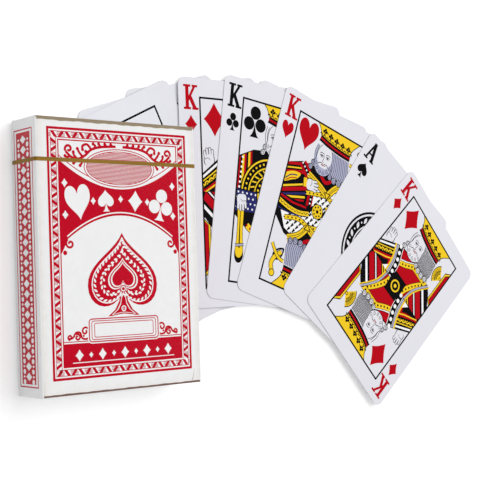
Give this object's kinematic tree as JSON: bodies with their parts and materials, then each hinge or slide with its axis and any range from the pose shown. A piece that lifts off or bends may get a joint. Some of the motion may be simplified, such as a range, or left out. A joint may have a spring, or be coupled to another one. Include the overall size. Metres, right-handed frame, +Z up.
{
  "type": "playing card deck",
  "caption": "Film-wrapped red and white tuck box with a hinged tuck lid, lying on a fan of face-up playing cards that closes about one point; further cards inside.",
  "frame": {"origin": "middle of the whole footprint, on the table under the lowest card", "axes": "+Z up from the table, +Y along the box towards its lid, +X from the box towards the front card of the fan"},
  "size_m": [0.2372, 0.1364, 0.0172],
  "materials": {
    "printed_board": "satin",
    "bare_board": "matte",
    "clear_film": "gloss",
    "tear_tape": "gloss",
    "card_stock": "satin"
  },
  "bodies": {
    "carton": {"front_panel": "printed_board", "back_panel": "printed_board", "side_panel_left": "printed_board", "side_panel_right": "printed_board", "glue_flap": "bare_board", "bottom_outer_flap": "printed_board", "bottom_inner_flap": "bare_board", "bottom_dust_flap_left": "bare_board", "bottom_dust_flap_right": "bare_board", "wrap_sleeve": "clear_film", "boxed_spades": "card_stock", "boxed_hearts": "card_stock", "boxed_diamonds": "card_stock", "boxed_clubs": "card_stock", "boxed_jokers": "card_stock"},
    "lid": {"lid_panel": "printed_board"},
    "tuck": {"tuck_flap": "bare_board"},
    "dust_left": {"dust_flap_left": "bare_board"},
    "dust_right": {"dust_flap_right": "bare_board"},
    "wrap_top": {"wrap_cap": "clear_film", "tear_tape": "tear_tape"},
    "fan_front": {"king_of_diamonds_front": "card_stock"},
    "ten_of_spades": {"ten_of_spades": "card_stock"},
    "jack_of_hearts": {"jack_of_hearts": "card_stock"},
    "queen_of_clubs": {"queen_of_clubs": "card_stock"},
    "queen_of_spades": {"queen_of_spades": "card_stock"},
    "king_of_diamonds_left": {"king_of_diamonds_left": "card_stock"},
    "king_of_clubs": {"king_of_clubs": "card_stock"},
    "king_of_hearts": {"king_of_hearts": "card_stock"},
    "ace_of_spades": {"ace_of_spades": "card_stock"}
  },
  "joints": [
    {"name": "lid_hinge", "type": "hinge", "parent": "carton", "child": "lid", "pos_m": [-0.08599, 0.04358, 0.00106], "axis": [-1, 0, 0], "range_deg": [0, 90]},
    {"name": "tuck_hinge", "type": "hinge", "parent": "lid", "child": "tuck", "pos_m": [-0.08599, 0.04316, 0.01611], "axis": [-1, 0, 0], "range_deg": [-28, 0]},
    {"name": "dust_left_hinge", "type": "hinge", "parent": "carton", "child": "dust_left", "pos_m": [-0.11807, 0.04308, 0.00906], "axis": [0, 0, 1], "range_deg": [0, 30]},
    {"name": "dust_right_hinge", "type": "hinge", "parent": "carton", "child": "dust_right", "pos_m": [-0.05391, 0.04308, 0.00906], "axis": [0, 0, -1], "range_deg": [0, 30]},
    {"name": "wrap_cap_slide", "type": "slide", "parent": "carton", "child": "wrap_top", "axis": [0, 1, 0], "range_m": [0, 0.0471]},
    {"name": "fan_slide", "type": "slide", "parent": "carton", "child": "fan_front", "axis": [1, 0, 0], "range_m": [0, 0.1]},
    {"name": "ten_of_spades_turn", "type": "hinge", "parent": "fan_front", "child": "ten_of_spades", "pos_m": [-0.01649, -0.08542, 0], "axis": [0, 0, 1], "range_deg": [-59.61, 0]},
    {"name": "jack_of_hearts_turn", "type": "hinge", "parent": "fan_front", "child": "jack_of_hearts", "pos_m": [-0.01649, -0.08542, 0.00032], "axis": [0, 0, 1], "range_deg": [-68.21, 0]},
    {"name": "queen_of_clubs_turn", "type": "hinge", "parent": "fan_front", "child": "queen_of_clubs", "pos_m": [-0.01649, -0.08542, 0.00064], "axis": [0, 0, 1], "range_deg": [-76, 0]},
    {"name": "queen_of_spades_turn", "type": "hinge", "parent": "fan_front", "child": "queen_of_spades", "pos_m": [-0.01649, -0.08542, 0.00096], "axis": [0, 0, 1], "range_deg": [-35.01, 0]},
    {"name": "king_of_diamonds_left_turn", "type": "hinge", "parent": "fan_front", "child": "king_of_diamonds_left", "pos_m": [-0.01649, -0.08542, 0.00128], "axis": [0, 0, 1], "range_deg": [-50.61, 0]},
    {"name": "king_of_clubs_turn", "type": "hinge", "parent": "fan_front", "child": "king_of_clubs", "pos_m": [-0.01649, -0.08542, 0.0016], "axis": [0, 0, 1], "range_deg": [-42.01, 0]},
    {"name": "king_of_hearts_turn", "type": "hinge", "parent": "fan_front", "child": "king_of_hearts", "pos_m": [-0.01649, -0.08542, 0.00192], "axis": [0, 0, 1], "range_deg": [-30.01, 0]},
    {"name": "ace_of_spades_turn", "type": "hinge", "parent": "fan_front", "child": "ace_of_spades", "pos_m": [-0.01649, -0.08542, 0.00224], "axis": [0, 0, 1], "range_deg": [-10.81, 0]}
  ],
  "couplings": [
    {"joint": "lid_hinge", "follows": "wrap_cap_slide", "rad_per_m": 33.3},
    {"joint": "tuck_hinge", "follows": "wrap_cap_slide", "rad_per_m": -10},
    {"joint": "dust_left_hinge", "follows": "wrap_cap_slide", "rad_per_m": 11},
    {"joint": "dust_right_hinge", "follows": "wrap_cap_slide", "rad_per_m": 11},
    {"joint": "ten_of_spades_turn", "follows": "queen_of_clubs_turn", "ratio": 0.78421},
    {"joint": "jack_of_hearts_turn", "follows": "queen_of_clubs_turn", "ratio": 0.89737},
    {"joint": "queen_of_spades_turn", "follows": "queen_of_clubs_turn", "ratio": 0.46053},
    {"joint": "king_of_diamonds_left_turn", "follows": "queen_of_clubs_turn", "ratio": 0.66579},
    {"joint": "king_of_clubs_turn", "follows": "queen_of_clubs_turn", "ratio": 0.55263},
    {"joint": "king_of_hearts_turn", "follows": "queen_of_clubs_turn", "ratio": 0.39474},
    {"joint": "ace_of_spades_turn", "follows": "queen_of_clubs_turn", "ratio": 0.14211}
  ]
}
